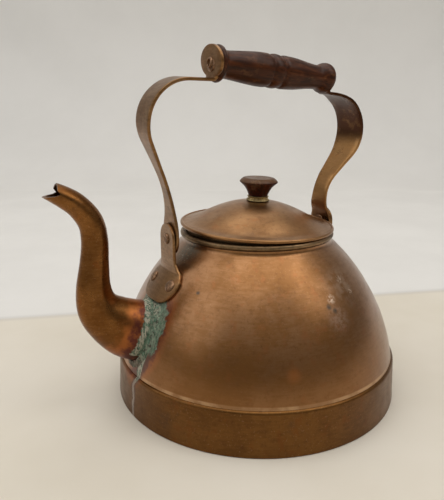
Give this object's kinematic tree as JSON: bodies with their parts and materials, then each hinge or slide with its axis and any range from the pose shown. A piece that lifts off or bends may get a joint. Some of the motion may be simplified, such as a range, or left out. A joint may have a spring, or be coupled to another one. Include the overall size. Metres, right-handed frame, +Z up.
{
  "type": "copper kettle",
  "caption": "Domed copper kettle with a straight base band, swan-neck spout, lift-off lid and a swinging bail with a turned wooden grip.",
  "frame": {"origin": "centre of the flat underside, on the surface that the kettle stands on", "axes": "+Z up, the spout points along -X, the bail's hinge line is parallel to X"},
  "size_m": [0.2669, 0.22, 0.2536],
  "materials": {
    "body_copper": "aged satin copper",
    "dark_copper": "dull dark copper",
    "solder": "rough solder with verdigris",
    "rivet_brass": "tarnished satin brass",
    "dark_wood": "worn satin varnish"
  },
  "bodies": {
    "kettle_body": {"base_plate": "body_copper", "base_band": "body_copper", "dome_shell": "body_copper", "neck_rim": "dark_copper", "spout": "body_copper", "spout_solder": "solder", "front_ear": "dark_copper", "rear_ear": "dark_copper", "front_ear_rivets": "dark_copper", "rear_ear_rivets": "dark_copper", "front_hinge_rivet": "rivet_brass", "rear_hinge_rivet": "rivet_brass"},
    "bail": {"front_strap": "dark_copper", "rear_strap": "dark_copper", "grip": "dark_wood", "grip_rod": "rivet_brass", "front_grip_washer": "rivet_brass", "rear_grip_washer": "rivet_brass"},
    "lid": {"lid_cover": "body_copper", "lid_collar": "dark_copper", "knob": "dark_wood", "knob_ferrule": "rivet_brass", "knob_stud": "rivet_brass", "knob_washer": "rivet_brass"}
  },
  "joints": [
    {"name": "bail_swing", "type": "hinge", "parent": "kettle_body", "child": "bail", "pos_m": [0, 0, 0.125], "axis": [1, 0, 0], "range_deg": [-102, 92]},
    {"name": "lid_lift", "type": "slide", "parent": "kettle_body", "child": "lid", "axis": [0, 0, 1], "range_m": [0, 0.045]}
  ]
}
